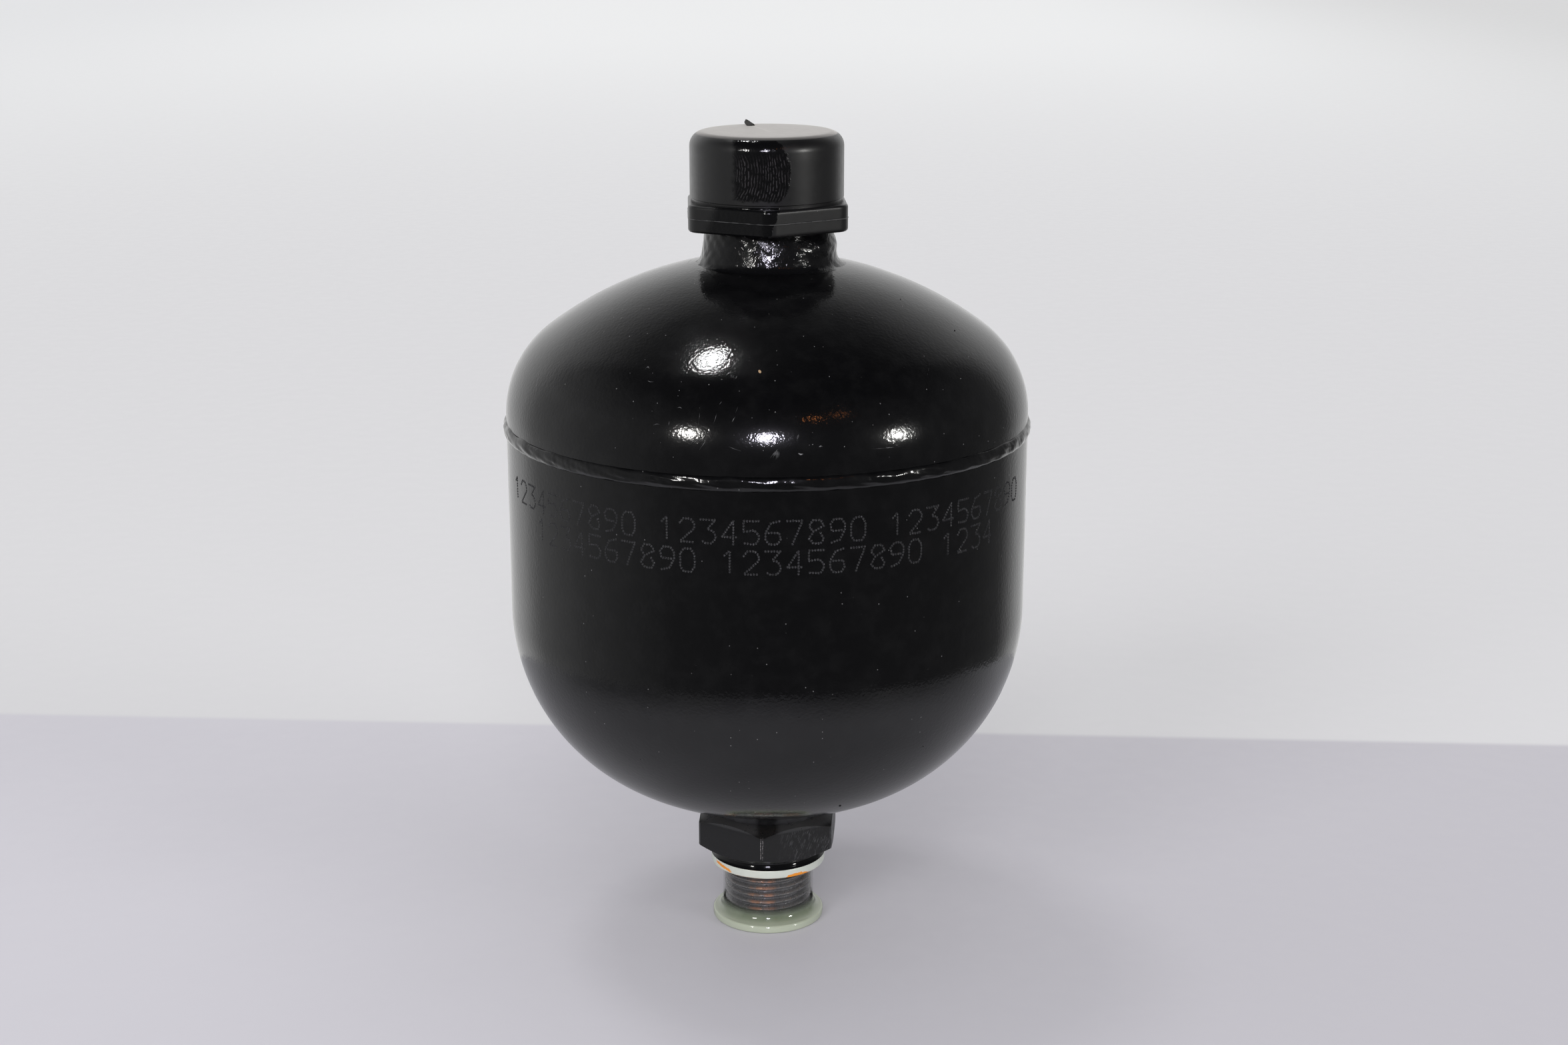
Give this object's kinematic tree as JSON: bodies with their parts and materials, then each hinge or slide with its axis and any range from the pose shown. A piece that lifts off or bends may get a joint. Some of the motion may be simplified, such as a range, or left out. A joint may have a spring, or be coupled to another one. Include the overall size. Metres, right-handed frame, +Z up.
{
  "type": "hydropneumatic accumulator",
  "caption": "Welded steel diaphragm accumulator: dished shells joined by a girth weld, hexagon port with male stud below, gas neck with screw cap above.",
  "frame": {"origin": "on the vessel's axis, at the underside of the thread protector that it stands on", "axes": "+Z up along the vessel's axis from the fluid port to the gas neck; -Y is the side seen in the picture"},
  "size_m": [0.1226, 0.1226, 0.193],
  "materials": {
    "shell_paint": "gloss black paint, faint orange peel",
    "weld_paint": "gloss black paint over weld beads",
    "port_paint": "black paint on the hexagon and collar, bare oiled thread",
    "bare_steel": "turned steel",
    "seal_metal": "zinc plated",
    "nitrile": "moulded rubber",
    "cap_plastic": "satin black, moulded",
    "protector_plastic": "translucent pale green"
  },
  "bodies": {
    "vessel": {"thread_protector": "protector_plastic", "seal_ring": "seal_metal", "seal_lip": "nitrile", "fluid_port": "port_paint", "port_weld": "weld_paint", "lower_shell": "shell_paint", "girth_weld": "weld_paint", "upper_shell": "shell_paint", "clamp_ring": "bare_steel", "diaphragm": "nitrile", "gas_neck": "bare_steel", "neck_weld": "weld_paint", "charging_screw": "bare_steel", "charging_screw_seal": "nitrile", "protective_cap": "cap_plastic"},
    "button": {"closing_button": "bare_steel"}
  },
  "joints": [
    {"name": "button_lift", "type": "slide", "parent": "vessel", "child": "button", "axis": [0, 0, 1], "range_m": [0, 0.088], "deforming": ["diaphragm"]}
  ]
}
